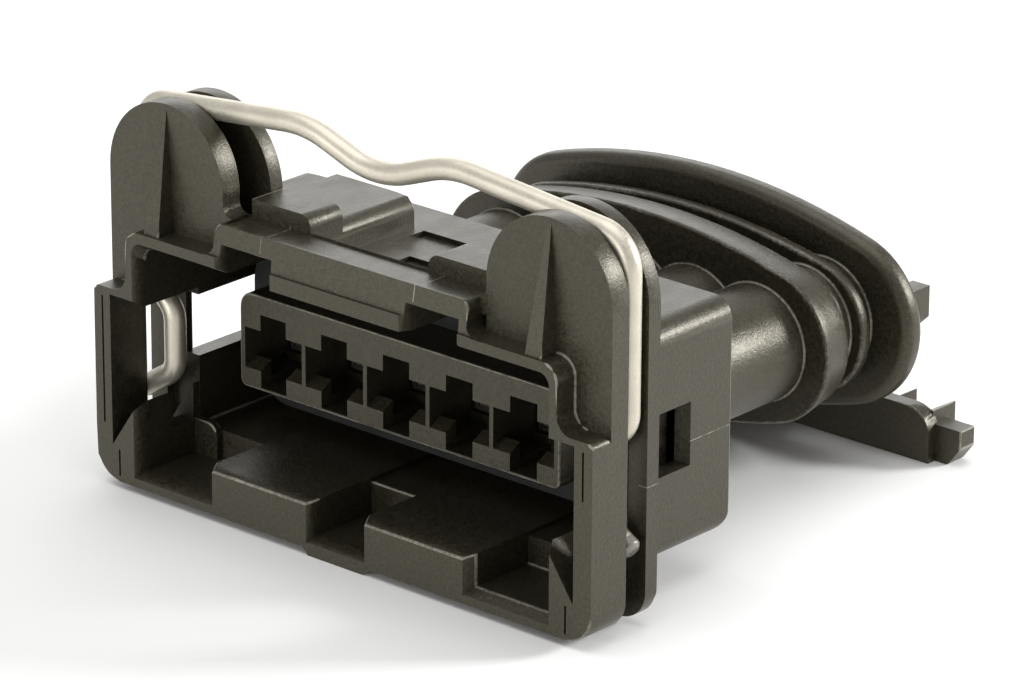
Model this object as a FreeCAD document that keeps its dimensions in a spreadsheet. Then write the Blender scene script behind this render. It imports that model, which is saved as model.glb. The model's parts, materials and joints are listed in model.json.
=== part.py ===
import FreeCAD, Part
import math
import os
import Sketcher

# Sealed five-way automotive connector with a bent-wire lock.
# Millimetres. X is the width, Y runs from the mating face to the wire entry, Z is up.
# Y = 0 is the rim of the mating shroud and Z = 0 is the underside of that shroud.

os.makedirs("parts", exist_ok=True)
doc = FreeCAD.newDocument("sealed_connector")
sheet = doc.addObject("Spreadsheet::Sheet", "Sizes")

SIZES = {
    # Contact layout
    "pitch": 5.0,
    "ways": 5,
    # Mating shroud, outside
    "shroud_half_width": 19.8,
    "shroud_depth": 3.05,
    "shroud_left_corner_radius": 1.9,
    "shroud_right_corner_radius": 0.4,
    "lower_shoulder_height": 12.4,
    "lower_shoulder_radius": 0.45,
    "shoulder_half_width": 17.1,
    "shoulder_height": 16.45,
    "shoulder_radius": 1.1,
    "bridge_half_width": 10.0,
    "bridge_height": 18.4,
    "bridge_radius": 0.6,
    "rim_width": 0.8,
    "rim_step": 0.15,
    # Mating shroud, inside at the rim
    "mouth_lead_in": 0.4,
    "mouth_lead_depth": 0.75,
    "mouth_half_width": 18.45,
    "mouth_floor": 0.55,
    "mouth_lower_ceiling": 12.0,
    "mouth_shoulder_half_width": 16.55,
    "mouth_shoulder_ceiling": 15.8,
    "mouth_shoulder_radius": 0.8,
    "mouth_bridge_half_width": 9.6,
    "mouth_bridge_ceiling": 17.45,
    "coding_block_half_width": 5.1,
    "coding_block_underside": 15.5,
    "keyway_half_width": 2.35,
    "keyway_floor": 0.35,
    "pad_top": 2.8,
    "pad_outer_edge": 10.06,
    "keyway_bump_half_width": 2.2,
    "keyway_bump_drop": 0.45,
    "shroud_cavity_end": 5.3,
    # Ramps that spread the wire when it is pressed
    "ramp_inner_edge": 16.65,
    "ramp_foot_height": 2.3,
    "ramp_slope": 1.45,
    "ramp_relief_height": 3.0,
    "ramp_relief_inner_edge": 15.8,
    # Ears and the wire slot
    "ear_inner_edge": 10.4,
    "rear_ear_inner_edge": 9.5,
    "ear_foot_radius": 0.7,
    "ear_top": 24.4,
    "ear_front": 1.6,
    "slot_rear": 4.78,
    "collar_plate_rear": 5.8,
    "slot_core_half_width": 17.6,
    "gusset_foot_half_width": 0.65,
    "gusset_tip_half_width": 0.14,
    "gusset_front": 0.25,
    "gusset_tip_height": 24.0,
    # Box behind the ears
    "box_half_width": 17.4,
    "box_bottom": 2.0,
    "box_top": 16.4,
    "box_rear": 15.25,
    "box_top_radius": 1.4,
    "box_bottom_radius": 0.95,
    "box_rear_radius": 1.7,
    "box_wall": 1.2,
    "box_floor_top": 3.0,
    "box_side_floor_top": 2.75,
    "window_front": 5.8,
    "window_rear": 11.55,
    "window_bottom": 7.15,
    "window_top": 11.1,
    "window_relief_edge": 17.25,
    "corner_rib_inner_edge": 14.35,
    "corner_rib_front": 4.85,
    "corner_rib_top": 3.2,
    "corner_rib_radius": 0.9,
    # Fine lines left by the mould
    "mould_slit_width": 0.14,
    "mould_slit_depth": 0.5,
    "mould_slit_offset": 17.88,
    "mould_slit_bottom": 0.35,
    "mould_slit_top": 2.1,
    "side_line_offset": 19.1,
    "side_line_depth": 0.2,
    "left_side_line_bottom": 3.6,
    "right_side_line_bottom": 8.8,
    "side_line_top": 11.8,
    # Blocks on top
    "stop_inner_edge": 4.65,
    "stop_outer_edge": 9.4,
    "stop_top": 19.4,
    "stop_radius": 0.8,
    "key_block_left": 11.0,
    "key_block_right": 4.6,
    "key_block_top": 18.3,
    "key_block_rear": 12.1,
    "key_block_radius": 1.0,
    "label_recess_depth": 0.3,
    "label_half_width": 3.8,
    "label_front": 8.7,
    "label_rear": 12.0,
    "small_label_left": 1.4,
    "small_label_right": 3.9,
    "small_label_front": 5.4,
    "small_label_rear": 8.1,
    # Terminal tower
    "tower_front": 5.35,
    "tower_half_width": 12.75,
    "tower_bottom": 6.15,
    "tower_top": 12.25,
    "tower_top_radius": 1.0,
    "tower_bottom_radius": 0.45,
    "tower_foot_front": 13.0,
    "tower_foot_step": 0.6,
    # Contact chambers in the tower
    "chamber_half_width": 2.35,
    "chamber_bottom": 7.41,
    "chamber_top": 10.0,
    "chamber_rear": 26.0,
    "notch_half_width": 1.05,
    "notch_top": 11.05,
    "notch_rear": 16.0,
    "chamber_lead_depth": 0.9,
    "chamber_lead_rise": 0.5,
    "shelf_rear": 9.0,
    "shelf_drop": 0.5,
    "probe_slot_rear": 9.0,
    "probe_slot_floor": 0.2,
    # Rear tubes and collars
    "tube_axis_height": 8.68,
    "tube_radius": 3.72,
    "tube_start": 14.6,
    "tube_end": 36.0,
    "seal_bore_radius": 2.2,
    "bore_lead_in": 0.35,
    "collar_axis_height": 8.56,
    "collar_end_radius": 5.0,
    "first_collar_half_width": 15.48,
    "first_collar_half_height": 6.44,
    "first_collar_front": 26.75,
    "first_collar_rear": 29.5,
    "first_collar_taper": 0.45,
    "second_collar_half_width": 14.6,
    "second_collar_half_height": 5.55,
    "second_collar_end_radius": 4.3,
    "second_collar_front": 31.3,
    "second_collar_rear": 32.2,
    "third_collar_half_width": 16.56,
    "third_collar_half_height": 7.25,
    "third_collar_front": 33.3,
    "third_collar_rear": 35.0,
    "third_collar_end_radius": 5.6,
    "third_collar_lip_radius": 0.7,
    "collar_fin_inner": 14.6,
    "collar_fin_outer": 15.9,
    "collar_fin_rear": 36.2,
    "collar_fin_top": 11.2,
    "collar_fin_bottom": 9.2,
    "collar_fin_slope": 1.3,
    # Cable cradle
    "cradle_front": 36.2,
    "cradle_rear": 37.3,
    "cradle_half_width": 16.2,
    "cradle_bottom": -0.45,
    "cradle_top": 3.0,
    "cradle_corner_radius": 1.7,
    "cradle_web_bottom": 1.6,
    "cradle_web_half_width": 6.5,
    "cradle_floor_rear": 40.6,
    "cradle_floor_top": 0.85,
    "tooth_pitch": 3.0,
    "tooth_width": 1.6,
    "tooth_height": 1.9,
    "tooth_end": 39.4,
    "cradle_lug_half_width": 18.1,
    "cradle_lug_top": 1.95,
    "cradle_lug_edge": 1.2,
    "cradle_lug_front": 36.9,
    "cradle_lug_rear": 38.4,
    # Locking wire
    "wire_radius": 0.68,
    "wire_plane": 3.915,
    "wire_dip_height": 23.05,
    "wire_dip_radius": 6.5,
    "wire_dip_slope": 20.0,
    "wire_rise": 1.93,
    "wire_hump_radius": 7.5,
    "wire_shoulder_slope": 5.5,
    "wire_ear_radius": 2.2,
    "wire_leg_offset": 19.1,
    "wire_leg_foot_height": 13.0,
    "wire_bend_radius": 1.6,
    "wire_bend_angle": 50.0,
    "wire_inner_leg_offset": 16.85,
    "wire_inner_leg_foot": 7.2,
    "wire_toe_radius": 1.4,
    "wire_toe_slope": 33.0,
    "wire_tip_offset": 19.6,
    "wire_tip_chamfer": 0.25,
    # Interface seal
    "seal_fit": 0.03,
    "seal_front": 8.7,
    "seal_rear": 12.95,
    "seal_body": 1.3,
    "seal_lip": 2.35,
    "seal_lip_front": 9.1,
    "seal_lip_width": 0.8,
    "seal_lip_spacing": 2.2,
    # Contacts
    "contact_axis_height": 8.7,
    "contact_front": 9.4,
    "contact_box_rear": 17.4,
    "contact_half_width": 2.0,
    "contact_half_height": 0.95,
    "contact_wall": 0.3,
    "contact_strip_half_width": 1.0,
    "contact_crimp_front": 18.8,
    "contact_crimp_rear": 22.2,
    "contact_grip_front": 23.2,
    "contact_grip_rear": 25.6,
    "contact_crimp_half_width": 1.25,
    "contact_crimp_height": 2.0,
    "spring_fit": 0.03,
    "spring_wall": 0.18,
    "spring_front": 9.2,
    "spring_rear": 16.4,
    "lance_half_width": 0.8,
    "lance_front": 11.4,
    "lance_rear": 15.4,
    "lance_rise": 0.85,
    # Single-wire seals
    "wire_seal_fit": 0.05,
    "wire_seal_front": 27.4,
    "wire_seal_rear": 34.6,
    "wire_seal_hole_radius": 0.85,
    "wire_seal_neck_radius": 1.6,
    "wire_seal_neck_front": 26.4,
    "wire_seal_groove_depth": 0.4,
    "wire_seal_groove_width": 0.9,
    "wire_seal_groove_spacing": 1.9,
}

for row, (alias, number) in enumerate(SIZES.items(), start=1):
    sheet.set("A%d" % row, alias)
    sheet.set("B%d" % row, repr(number))
    sheet.setAlias("B%d" % row, alias)
doc.recompute()


class Dim:
    """A length that carries both its number and its formula in the sheet."""

    def __init__(self, value, text):
        self.value = value
        self.text = text

    def __add__(self, other):
        other = dim(other)
        return Dim(self.value + other.value, "(%s + %s)" % (self.text, other.text))

    def __radd__(self, other):
        return dim(other) + self

    def __sub__(self, other):
        other = dim(other)
        return Dim(self.value - other.value, "(%s - %s)" % (self.text, other.text))

    def __rsub__(self, other):
        return dim(other) - self

    def __mul__(self, other):
        other = dim(other)
        return Dim(self.value * other.value, "(%s * %s)" % (self.text, other.text))

    def __rmul__(self, other):
        return dim(other) * self

    def __truediv__(self, other):
        other = dim(other)
        return Dim(self.value / other.value, "(%s / %s)" % (self.text, other.text))

    def __neg__(self):
        return dim(-1) * self


def dim(number):
    """Turns a plain number into a Dim and leaves a Dim alone."""
    if isinstance(number, Dim):
        return number
    return Dim(float(number), "(%s)" % repr(float(number)))


def size(alias):
    """Reads one named size of the sheet."""
    return Dim(float(SIZES[alias]), "Sizes.%s" % alias)


PLANES = {"XZ": ("XZ_Plane", -1, True), "XY": ("XY_Plane", 1, False), "YZ": ("YZ_Plane", 1, False)}


def new_body(label):
    body = doc.addObject("PartDesign::Body", label)
    body.Label = label
    return body


def origin_plane(body, role):
    for item in body.Origin.OriginFeatures:
        if item.Role == role:
            return item
    raise RuntimeError("no plane " + role)


def new_sketch(body, name, plane, level):
    """A sketch on one of the body's own planes, lifted to a level along that plane's axis."""
    role, sign, _ = PLANES[plane]
    sketch = body.newObject("Sketcher::SketchObject", name)
    sketch.AttachmentSupport = (origin_plane(body, role), [""])
    sketch.MapMode = "FlatFace"
    sketch.setExpression("AttachmentOffset.Base.z", (sign * dim(level)).text)
    return sketch


def fix_length(sketch, kind, place, length):
    """Adds a dimension and binds it to the sheet."""
    index = sketch.addConstraint(Sketcher.Constraint(kind, *place, length.value))
    sketch.setExpression("Constraints[%d]" % index, length.text)


def fix_point(sketch, geometry, end, point):
    for kind, length in zip(("DistanceX", "DistanceY"), point):
        fix_length(sketch, kind, (-1, 1, geometry, end), dim(length))


def corner_steps(path):
    """Turns a list of corners, some with a radius, into straight and round steps."""
    steps = []
    count = len(path)
    for index, corner in enumerate(path):
        x, z = dim(corner[0]), dim(corner[1])
        if len(corner) == 2:
            steps.append((x, z, None, 0))
            continue
        radius = dim(corner[2])
        before = path[index - 1]
        after = path[(index + 1) % count]
        directions = []
        for other in (before, after):
            dx = dim(other[0]).value - x.value
            dz = dim(other[1]).value - z.value
            if abs(dx) > abs(dz):
                directions.append((math.copysign(1, dx), 0))
            else:
                directions.append((0, math.copysign(1, dz)))
        (ax, az), (bx, bz) = directions
        turn = (-ax) * bz - (-az) * bx
        steps.append((x + radius * ax, z + radius * az, None, 0))
        steps.append((x + radius * bx, z + radius * bz, radius, turn))
    return steps


def draw_steps(sketch, steps):
    """Draws a closed outline. A step with a radius is reached by an arc of that radius."""
    first = sketch.GeometryCount
    count = len(steps)
    for index in range(count):
        x0, z0 = steps[index - 1][0].value, steps[index - 1][1].value
        x1, z1, radius, turn = steps[index]
        start = FreeCAD.Vector(x0, z0, 0)
        end = FreeCAD.Vector(x1.value, z1.value, 0)
        if radius is None:
            sketch.addGeometry(Part.LineSegment(start, end), False)
            continue
        chord = end - start
        middle = (start + end) * 0.5
        half = chord.Length / 2
        rise = math.sqrt(max(radius.value ** 2 - half ** 2, 0.0))
        side = FreeCAD.Vector(-chord.y, chord.x, 0).normalize()
        centre = middle + side * (rise if turn > 0 else -rise)
        circle = Part.Circle(centre, FreeCAD.Vector(0, 0, 1), radius.value)
        a0 = math.atan2(start.y - centre.y, start.x - centre.x)
        a1 = math.atan2(end.y - centre.y, end.x - centre.x)
        if turn > 0:
            sketch.addGeometry(Part.ArcOfCircle(circle, a0, a1), False)
        else:
            sketch.addGeometry(Part.ArcOfCircle(circle, a1, a0), False)
    for index in range(count):
        geometry = first + index
        following = first + (index + 1) % count
        turn = steps[index][3]
        next_turn = steps[(index + 1) % count][3]
        end = 1 if turn < 0 else 2
        start = 2 if next_turn < 0 else 1
        sketch.addConstraint(Sketcher.Constraint("Coincident", geometry, end, following, start))
        fix_point(sketch, geometry, end, steps[index][:2])
        if steps[index][2] is not None:
            fix_length(sketch, "Radius", (geometry,), steps[index][2])


def outline(body, name, plane, level, *paths):
    sketch = new_sketch(body, name, plane, level)
    for path in paths:
        draw_steps(sketch, corner_steps(path))
    return sketch


def round_outline(body, name, plane, level, centre, radius):
    sketch = new_sketch(body, name, plane, level)
    circle = Part.Circle(
        FreeCAD.Vector(dim(centre[0]).value, dim(centre[1]).value, 0),
        FreeCAD.Vector(0, 0, 1),
        dim(radius).value,
    )
    sketch.addGeometry(circle, False)
    fix_point(sketch, 0, 3, centre)
    fix_length(sketch, "Radius", (0,), dim(radius))
    return sketch


def oval_steps(half_width, half_height, end_radius, height):
    """Two flat arcs and two end arcs, all tangent to each other."""
    reach = half_width - end_radius
    flat = (reach * reach / (half_height - end_radius) + end_radius + half_height) / 2
    across = reach + end_radius * reach / (flat - end_radius)
    up = end_radius * (flat - half_height) / (flat - end_radius)
    return [
        (across, height + up, end_radius, 1),
        (-across, height + up, flat, 1),
        (-across, height - up, end_radius, 1),
        (across, height - up, flat, 1),
    ]


def oval(body, name, level, half_width, half_height, end_radius):
    sketch = new_sketch(body, name, "XZ", level)
    draw_steps(sketch, oval_steps(half_width, half_height, end_radius, size("collar_axis_height")))
    return sketch


def pad(body, name, plane, sketch, length):
    feature = body.newObject("PartDesign::Pad", name)
    feature.Profile = sketch
    feature.Reversed = PLANES[plane][2]
    feature.setExpression("Length", dim(length).text)
    sketch.Visibility = False
    doc.recompute()
    body.Tip = feature
    return feature


def pocket(body, name, plane, sketch, length):
    before = body.Shape.Volume
    feature = body.newObject("PartDesign::Pocket", name)
    feature.Profile = sketch
    feature.Reversed = not PLANES[plane][2]
    feature.setExpression("Length", dim(length).text)
    sketch.Visibility = False
    doc.recompute()
    body.Tip = feature
    if body.Shape.Volume >= before - 0.001:
        raise RuntimeError("nothing was cut by " + name)
    return feature


def block(body, name, low, high, radii=()):
    """A block between two opposite corners, padded along Y. Radii round its corners seen from
    the front, in the order lower left, lower right, upper right, upper left."""
    corners = [(low[0], low[2]), (high[0], low[2]), (high[0], high[2]), (low[0], high[2])]
    path = []
    for index, corner in enumerate(corners):
        radius = radii[index] if index < len(radii) else None
        path.append(corner if radius is None else corner + (radius,))
    sketch = outline(body, name + "_outline", "XZ", low[1], path)
    return pad(body, name, "XZ", sketch, dim(high[1]) - dim(low[1]))


def cut_block(body, name, low, high):
    path = [(low[0], low[2]), (high[0], low[2]), (high[0], high[2]), (low[0], high[2])]
    sketch = outline(body, name + "_outline", "XZ", low[1], path)
    return pocket(body, name, "XZ", sketch, dim(high[1]) - dim(low[1]))


def repeat(body, name, features):
    """Repeats features once for every contact way."""
    pattern = body.newObject("PartDesign::LinearPattern", name)
    pattern.Originals = features
    for item in body.Origin.OriginFeatures:
        if item.Role == "X_Axis":
            pattern.Direction = (item, [""])
    pattern.setExpression("Length", (size("pitch") * (size("ways") - 1)).text)
    pattern.setExpression("Occurrences", "Sizes.ways")
    doc.recompute()
    body.Tip = pattern
    return pattern


def round_edges(body, name, radius, chosen):
    """Rounds the edges whose middle the test accepts."""
    base = body.Tip
    names = []
    for index, edge in enumerate(base.Shape.Edges, start=1):
        if chosen(edge.CenterOfMass, edge.BoundBox):
            names.append("Edge%d" % index)
    if not names:
        raise RuntimeError("no edge for " + name)
    feature = body.newObject("PartDesign::Fillet", name)
    feature.Base = (base, names)
    feature.setExpression("Radius", size(radius).text)
    doc.recompute()
    body.Tip = feature
    return feature


def near(value, alias, reach=0.02):
    return abs(value - SIZES[alias]) < reach


def mirrored(path):
    """Adds the left half of an outline that is given for the right half, from the bottom up."""
    left = []
    for corner in reversed(path):
        left.append((-dim(corner[0]),) + tuple(corner[1:]))
    return path + left


def right_corner(path):
    """Gives the lower right corner of a mirrored outline its own, smaller radius."""
    middle = len(path) // 2
    corner = path[middle]
    return path[:middle] + [(corner[0], corner[1], size("shroud_right_corner_radius"))] + path[
        middle + 1:]


# Housing: outside of the shroud
housing = new_body("connector_housing")
half = size("shroud_half_width")
shroud = mirrored([
    (half, 0.0, size("shroud_left_corner_radius")),
    (half, size("lower_shoulder_height"), size("lower_shoulder_radius")),
    (size("shoulder_half_width"), size("lower_shoulder_height"), size("shoulder_radius")),
    (size("shoulder_half_width"), size("shoulder_height"), size("shoulder_radius")),
    (size("bridge_half_width"), size("shoulder_height"), size("bridge_radius")),
    (size("bridge_half_width"), size("bridge_height"), size("bridge_radius")),
])
shroud_sketch = outline(housing, "shroud_outline", "XZ", 0.0, right_corner(shroud))
pad(housing, "shroud", "XZ", shroud_sketch, size("shroud_depth"))


def ear_steps(side, foot, inner_edge):
    """One round-topped ear, from its foot up."""
    inner = size(inner_edge) * side
    outer = size("shroud_half_width") * side
    radius = (size("shroud_half_width") - size(inner_edge)) / 2
    spring_line = size("ear_top") - radius
    middle = (inner + outer) / 2
    if side > 0:
        low, high = inner, outer
    else:
        low, high = outer, inner
    return [
        (low, dim(foot), None, 0),
        (high, dim(foot), None, 0),
        (high, spring_line, None, 0),
        (middle, size("ear_top"), radius, 1),
        (low, spring_line, radius, 1),
    ]


ears = new_sketch(housing, "front_ear_outline", "XZ", size("ear_front"))
for side in (-1, 1):
    draw_steps(ears, ear_steps(side, size("lower_shoulder_height") - 1, "ear_inner_edge"))
pad(housing, "front_ears", "XZ", ears, size("shroud_depth") - size("ear_front"))
ear_feet = new_sketch(housing, "ear_foot_outline", "XZ", size("ear_front"))
for side in (-1, 1):
    fillet = size("ear_foot_radius")
    edge = size("ear_inner_edge")
    draw_steps(ear_feet, [
        ((edge + 0.2) * side, size("bridge_height") - 1, None, 0),
        ((edge + 0.2) * side, size("bridge_height") + fillet, None, 0),
        (edge * side, size("bridge_height") + fillet, None, 0),
        ((edge - fillet) * side, size("bridge_height"), fillet, -side),
        ((edge - fillet) * side, size("bridge_height") - 1, None, 0),
    ])
pad(housing, "ear_feet", "XZ", ear_feet, size("shroud_depth") - size("ear_front"))

# Housing: core that crosses the wire slot, and the plate behind it
core = mirrored([
    (size("slot_core_half_width"), 0.0),
    (size("slot_core_half_width"), size("ramp_foot_height") * 3),
    (size("shoulder_half_width"), size("ramp_foot_height") * 3),
    (size("shoulder_half_width"), size("shoulder_height"), size("bridge_radius")),
])
core_sketch = outline(housing, "slot_core_outline", "XZ", size("shroud_depth"), core)
pad(housing, "slot_core", "XZ", core_sketch, size("slot_rear") - size("shroud_depth"))
plate = mirrored([
    (half, 0.0, size("shroud_left_corner_radius")),
    (half, size("shoulder_height")),
])
plate_sketch = outline(housing, "collar_plate_outline", "XZ", size("slot_rear"),
                       right_corner(plate))
plate_thickness = size("collar_plate_rear") - size("slot_rear")
pad(housing, "collar_plate", "XZ", plate_sketch, plate_thickness)
rear_ears = new_sketch(housing, "rear_ear_outline", "XZ", size("slot_rear"))
for side in (-1, 1):
    draw_steps(rear_ears, ear_steps(side, size("shoulder_height") - 1, "rear_ear_inner_edge"))
pad(housing, "rear_ears", "XZ", rear_ears, plate_thickness)

# Housing: keyway bump under the floor
bump_reach = size("keyway_bump_half_width") + size("keyway_bump_drop")
bump = [
    (-bump_reach, 0.2),
    (-bump_reach, 0.0),
    (-size("keyway_bump_half_width"), -size("keyway_bump_drop")),
    (size("keyway_bump_half_width"), -size("keyway_bump_drop")),
    (bump_reach, 0.0),
    (bump_reach, 0.2),
]
bump_sketch = outline(housing, "keyway_bump_outline", "XZ", 0.0, bump)
pad(housing, "keyway_bump", "XZ", bump_sketch, size("collar_plate_rear"))

# Housing: box
box_outline = mirrored([
    (size("box_half_width"), size("box_bottom"), size("box_bottom_radius")),
    (size("box_half_width"), size("box_top"), size("box_top_radius")),
])
box_sketch = outline(housing, "box_outline", "XZ", size("slot_rear") + 0.5, box_outline)
pad(housing, "box", "XZ", box_sketch, size("box_rear") - size("slot_rear") - 0.5)
box_rear, box_bottom = size("box_rear"), size("box_bottom")
round_rear = size("box_rear_radius")
heel = new_sketch(housing, "box_heel_outline", "YZ", -size("box_half_width") - 1)
draw_steps(heel, [
    (box_rear - round_rear, box_bottom - 0.5, None, 0),
    (box_rear + 0.5, box_bottom - 0.5, None, 0),
    (box_rear + 0.5, box_bottom + round_rear, None, 0),
    (box_rear, box_bottom + round_rear, None, 0),
    (box_rear - round_rear, box_bottom, round_rear, -1),
])
pocket(housing, "box_heel", "YZ", heel, size("box_half_width") * 2 + 2)

# Housing: blocks on top that stop the wire and key the header
for side, word in ((-1, "left"), (1, "right")):
    inner = size("stop_inner_edge") * side
    outer = size("stop_outer_edge") * side
    low_x, high_x = (outer, inner) if side < 0 else (inner, outer)
    block(
        housing,
        "wire_stop_" + word,
        (low_x, size("shroud_depth"), size("box_top") - 0.6),
        (high_x, size("collar_plate_rear"), size("stop_top")),
        (None, None) + ((size("stop_radius"), None) if side < 0 else (None, size("stop_radius"))),
    )
block(
    housing,
    "key_block",
    (-size("key_block_left"), size("slot_rear"), size("box_top") - 0.6),
    (-size("key_block_right"), size("key_block_rear"), size("key_block_top")),
    (None, None, size("key_block_radius"), None),
)

# Housing: step behind the bridge rim, and the bare label recesses
cut_block(
    housing, "rim_step",
    (-size("bridge_half_width") + 0.4, size("rim_width"), size("bridge_height") - size("rim_step")),
    (size("bridge_half_width") - 0.4, size("shroud_depth") - 0.01, size("bridge_height") + 1),
)
cut_block(
    housing, "label_recess",
    (-size("label_half_width"), size("label_front"), size("box_top") - size("label_recess_depth")),
    (size("label_half_width"), size("label_rear"), size("box_top") + 1),
)
cut_block(
    housing, "small_label_recess",
    (-size("small_label_left"), size("small_label_front"),
     size("box_top") - size("label_recess_depth")),
    (size("small_label_right"), size("small_label_rear"), size("box_top") + 1),
)

# Housing: gussets that stiffen the ears
ear_middle = (size("ear_inner_edge") + size("shroud_half_width")) / 2
gusset_outline = new_sketch(housing, "gusset_outline", "XZ", size("gusset_front"))
for side in (-1, 1):
    gusset = [
        (ear_middle * side - size("gusset_foot_half_width"), size("shoulder_height") - 0.5),
        (ear_middle * side + size("gusset_foot_half_width"), size("shoulder_height") - 0.5),
        (ear_middle * side + size("gusset_tip_half_width"), size("gusset_tip_height")),
        (ear_middle * side - size("gusset_tip_half_width"), size("gusset_tip_height")),
    ]
    draw_steps(gusset_outline, corner_steps(gusset))
pad(housing, "gussets", "XZ", gusset_outline, size("ear_front") - size("gusset_front") + 0.2)
slant = [
    (size("gusset_front") - 0.5, size("shoulder_height") + 0.05),
    (size("gusset_front"), size("shoulder_height") + 0.05),
    (size("ear_front"), size("gusset_tip_height") + 0.05),
    (size("gusset_front") - 0.5, size("gusset_tip_height") + 0.05),
]
slant_sketch = outline(housing, "gusset_slant", "YZ", -size("shroud_half_width"), slant)
pocket(housing, "gusset_trim", "YZ", slant_sketch, size("shroud_half_width") * 2)

# Housing: five fused rear tubes
tube_sketch = round_outline(
    housing,
    "tube_outline",
    "XZ",
    size("tube_start"),
    (-size("pitch") * 2, size("tube_axis_height")),
    size("tube_radius"),
)
tube = pad(housing, "tube", "XZ", tube_sketch, size("tube_end") - size("tube_start"))
repeat(housing, "tubes", [tube])

# Housing: oval collars on the tubes
first_width, first_height = size("first_collar_half_width"), size("first_collar_half_height")
taper = size("first_collar_taper")
first_front = oval(
    housing, "first_collar_outline", size("first_collar_front"),
    first_width, first_height, size("collar_end_radius"),
)
first_rear = oval(
    housing, "first_collar_rear_outline", size("first_collar_rear"),
    first_width - taper, first_height - taper, size("collar_end_radius") - taper,
)
first_collar = housing.newObject("PartDesign::AdditiveLoft", "first_collar")
first_collar.Profile = first_front
first_collar.Sections = [first_rear]
first_collar.Ruled = True
doc.recompute()
housing.Tip = first_collar
second = oval(
    housing, "second_collar_outline", size("second_collar_front"),
    size("second_collar_half_width"), size("second_collar_half_height"),
    size("second_collar_end_radius"),
)
pad(housing, "second_collar", "XZ", second,
    size("second_collar_rear") - size("second_collar_front"))
third = oval(
    housing, "third_collar_outline", size("third_collar_front"),
    size("third_collar_half_width"), size("third_collar_half_height"),
    size("third_collar_end_radius"),
)
pad(housing, "third_collar", "XZ", third, size("third_collar_rear") - size("third_collar_front"))
round_edges(
    housing,
    "third_collar_lip",
    "third_collar_lip_radius",
    lambda c, b: (near(c.y, "third_collar_front") or near(c.y, "third_collar_rear"))
    and (abs(c.x) > 15.0 or abs(c.z - SIZES["collar_axis_height"]) > 6.6),
)
for side, word in ((-1, "left"), (1, "right")):
    fin = [
        (size("collar_fin_inner") * side, size("collar_fin_bottom") - size("collar_fin_slope")),
        (size("collar_fin_outer") * side, size("collar_fin_bottom")),
        (size("collar_fin_outer") * side, size("collar_fin_top")),
        (size("collar_fin_inner") * side, size("collar_fin_top")),
    ]
    fin_sketch = outline(housing, "collar_fin_outline_" + word, "XZ",
                         size("third_collar_rear") - 0.6, fin)
    pad(housing, "collar_fin_" + word, "XZ", fin_sketch,
        size("collar_fin_rear") - size("third_collar_rear") + 0.6)

# Housing: toothed cradle that the wires are tied down to
block(
    housing,
    "cradle_web",
    (-size("cradle_web_half_width"), size("third_collar_rear") - 0.3, size("cradle_web_bottom")),
    (size("cradle_web_half_width"), size("cradle_rear") - 0.2, size("cradle_top") - 0.2),
)
block(
    housing,
    "cradle_wall",
    (-size("cradle_half_width"), size("cradle_front"), size("cradle_bottom")),
    (size("cradle_half_width"), size("cradle_rear"), size("cradle_top")),
    (None, None, size("cradle_corner_radius"), size("cradle_corner_radius")),
)
block(
    housing,
    "cradle_floor",
    (-size("cradle_half_width") + 1, size("cradle_rear") - 0.2, size("cradle_bottom")),
    (size("cradle_half_width") - 1, size("cradle_floor_rear"), size("cradle_floor_top")),
)
tooth_sketch = new_sketch(housing, "cradle_teeth_outline", "XZ", size("cradle_rear") - 0.2)
for count in range(-5, 6):
    foot = size("tooth_pitch") * count
    tooth = [
        (foot - size("tooth_width") / 2, size("cradle_floor_top") - 0.2),
        (foot + size("tooth_width") / 2, size("cradle_floor_top") - 0.2),
        (foot + size("tooth_width") / 2, size("cradle_floor_top") + size("tooth_height")),
        (foot - size("tooth_width") / 2, size("cradle_floor_top") + size("tooth_height") / 2),
    ]
    draw_steps(tooth_sketch, corner_steps(tooth))
pad(housing, "cradle_teeth", "XZ", tooth_sketch,
    size("tooth_end") - size("cradle_rear") + 0.2)
for side, word in ((-1, "left"), (1, "right")):
    lug = [
        ((size("cradle_half_width") - 2) * side, size("cradle_bottom")),
        ((size("cradle_half_width") + 1) * side, size("cradle_bottom")),
        (size("cradle_lug_half_width") * side, size("cradle_lug_top") - size("cradle_lug_edge")),
        (size("cradle_lug_half_width") * side, size("cradle_lug_top")),
        ((size("cradle_half_width") - 2) * side, size("cradle_lug_top")),
    ]
    lug_sketch = outline(housing, "cradle_lug_outline_" + word, "XZ",
                         size("cradle_lug_front"), lug)
    pad(housing, "cradle_lug_" + word, "XZ", lug_sketch,
        size("cradle_lug_rear") - size("cradle_lug_front"))


def mouth_path(lead):
    """Inside of the shroud in section. The lead is how far its walls have closed in."""
    lead = dim(lead)
    ramp_inner = size("ramp_inner_edge") - lead
    wall = size("mouth_half_width")
    ramp_top = size("ramp_foot_height") + (size("mouth_half_width") - ramp_inner) * size(
        "ramp_slope")
    return mirrored([
        (size("keyway_half_width") - lead, size("keyway_floor") + lead),
        (size("keyway_half_width") - lead, size("pad_top") + lead / 2),
        (size("pad_outer_edge") + lead, size("pad_top") + lead / 2),
        (size("pad_outer_edge") + lead, size("mouth_floor") + lead),
        (ramp_inner, size("mouth_floor") + lead),
        (ramp_inner, ramp_top),
        (wall, size("ramp_foot_height")),
        (wall, size("mouth_lower_ceiling") - lead),
        (size("mouth_shoulder_half_width") - lead, size("mouth_lower_ceiling") - lead),
        (size("mouth_shoulder_half_width") - lead, size("mouth_shoulder_ceiling") - lead,
         size("mouth_shoulder_radius")),
        (size("mouth_bridge_half_width") - lead, size("mouth_shoulder_ceiling") - lead),
        (size("mouth_bridge_half_width") - lead, size("mouth_bridge_ceiling") - lead),
        (size("coding_block_half_width") + lead, size("mouth_bridge_ceiling") - lead),
        (size("coding_block_half_width") + lead, size("coding_block_underside")),
    ])


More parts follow.
